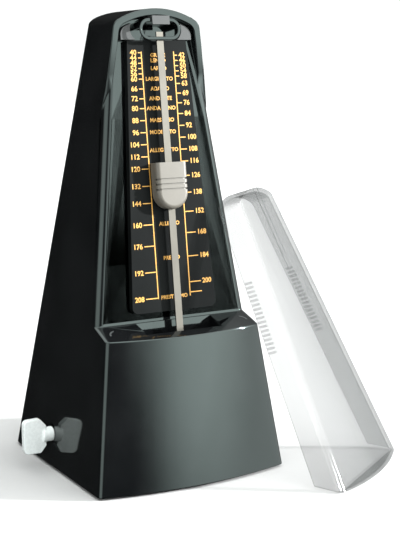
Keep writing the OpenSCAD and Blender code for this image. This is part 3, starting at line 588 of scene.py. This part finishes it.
# %% Floor
FLOOR_HALF = 6.0
floor_bm = bmesh.new()
bmesh.ops.create_grid(floor_bm, x_segments=1, y_segments=1, size=FLOOR_HALF)
floor_mesh = bpy.data.meshes.new("floor")
floor_bm.to_mesh(floor_mesh)
floor_bm.free()
floor_mesh.materials.append(surface("matt_white_table", ("#b4b4b4", "#b2b2b2"), (0.8, 0.9), 3, 0.01,
                                    patch_mm=300))
floor = bpy.data.objects.new("floor", floor_mesh)
bpy.context.scene.collection.objects.link(floor)
floor.visible_glossy = False
print("floor side:", round(floor.dimensions.x, 1), "m")

# %% [markdown]
# ## Studio light
# Polished black plastic shows nothing but what it mirrors, so the light is drawn as soft lobes on the
# sky round the object: a wide one overhead, two in front on the right that the block mirrors, one on
# the left that edges the corners, and a faint one behind. Area lights could do the same, but their
# hard rectangles show in the gloss. Each lobe is a direction, the angles in degrees where it starts
# and stops fading, and its strength. The background itself is white, which only the camera sees.

# %% Sky of soft lobes
FLOAT_A, FLOAT_B = 2, 3
CAMERA_WHITE = 1.1
SKY_CAST = (0.975, 1.0, 0.99, 1)
LOBES = [((0, 0, 1), 18, 58, 3.0), ((0.41, -0.71, 0.57), 35, 46, 2.4), ((0.8, -0.6, 0.0), 20, 50, 2.3),
         ((-0.86, -0.45, 0.25), 10, 38, 2.4), ((0.9, 0.4, 0.3), 10, 34, 0.5)]
DIM = 0.03
world = bpy.data.worlds.new("studio")
bpy.context.scene.world = world
world.use_nodes = True
sky = world.node_tree
sky.nodes.clear()
way = add_node(sky, "ShaderNodeTexCoord").outputs["Generated"]
total = add_node(sky, "ShaderNodeValue").outputs[0]
total.default_value = DIM
for aim, inner, outer, strength in LOBES:
    near = add_node(sky, "ShaderNodeVectorMath", {"operation": "DOT_PRODUCT", 1: Vector(aim).normalized()},
                    {0: way})
    lobe = add_node(sky, "ShaderNodeMapRange",
                    {"interpolation_type": "SMOOTHSTEP", "From Min": math.cos(math.radians(outer)),
                     "From Max": math.cos(math.radians(inner)), "To Min": 0.0, "To Max": strength},
                    {"Value": near.outputs["Value"]})
    total = add_node(sky, "ShaderNodeMath", {"operation": "ADD"}, {0: total, 1: lobe.outputs[0]}).outputs[0]
seen = add_node(sky, "ShaderNodeLightPath").outputs["Is Camera Ray"]
power = add_node(sky, "ShaderNodeMix", {"data_type": "FLOAT", FLOAT_B: CAMERA_WHITE},
                 {MIX_FACTOR: seen, FLOAT_A: total})
back = add_node(sky, "ShaderNodeBackground", {"Color": SKY_CAST}, {"Strength": power.outputs[0]})
add_node(sky, "ShaderNodeOutputWorld", {}, {"Surface": back.outputs[0]})
bpy.context.scene.view_settings.view_transform = "Standard"
print("lobes:", len(LOBES))

# %% [markdown]
# One small hard lamp on the right throws the crisp shadows of the rod and the weight on the scale. It
# stands low, so the shadows fall to the side. A sun lamp is used, because its light has one direction.

# %% Shadow lamp
LAMP_STRENGTH, LAMP_WIDTH = 11.0, math.radians(3)
LAMP_FROM = Vector((0.82, -0.50, 0.27))
lamp = bpy.data.lights.new("shadow_lamp", "SUN")
lamp.energy = LAMP_STRENGTH
lamp.angle = LAMP_WIDTH
lamp_stand = bpy.data.objects.new("shadow_lamp", lamp)
bpy.context.scene.collection.objects.link(lamp_stand)
lamp_stand.rotation_euler = LAMP_FROM.to_track_quat("Z", "Y").to_euler()
print("lamp height angle:", round(math.degrees(math.asin(LAMP_FROM.normalized().z)), 1), "degrees")

# %% [markdown]
# ## Camera
# The camera stands left of the front and a little above the weight, with a long lens, so the upright
# lines hardly lean together. It could be aimed with a constraint, but its heading, dip and small roll
# are known, so its axes are worked out and written straight into its matrix.

# %% Camera
CAMERA_AT = Vector((-269.4, -545.3, 193.5)) * MM
HEADING, DIP, ROLL = math.radians(29.13), math.radians(9.09), math.radians(-0.60)
FRAME_MM, LENS_MM = 36.0, 83.19
NEAREST_M = 0.01
forward = Vector((math.sin(HEADING) * math.cos(DIP), math.cos(HEADING) * math.cos(DIP), -math.sin(DIP)))
level = Vector((math.cos(HEADING), -math.sin(HEADING), 0))
top = level.cross(forward)
right = level * math.cos(ROLL) + top * math.sin(ROLL)
upright = top * math.cos(ROLL) - level * math.sin(ROLL)
lens = bpy.data.cameras.new("camera")
lens.sensor_fit = "VERTICAL"
lens.sensor_height = FRAME_MM
lens.lens = LENS_MM
lens.clip_start = NEAREST_M
camera = bpy.data.objects.new("camera", lens)
bpy.context.scene.collection.objects.link(camera)
camera_turn = Matrix((right, upright, -forward)).transposed().to_4x4()
camera.matrix_world = Matrix.Translation(CAMERA_AT) @ camera_turn
bpy.context.scene.camera = camera
print("camera height:", round(camera.matrix_world.translation.z, 3), "m")
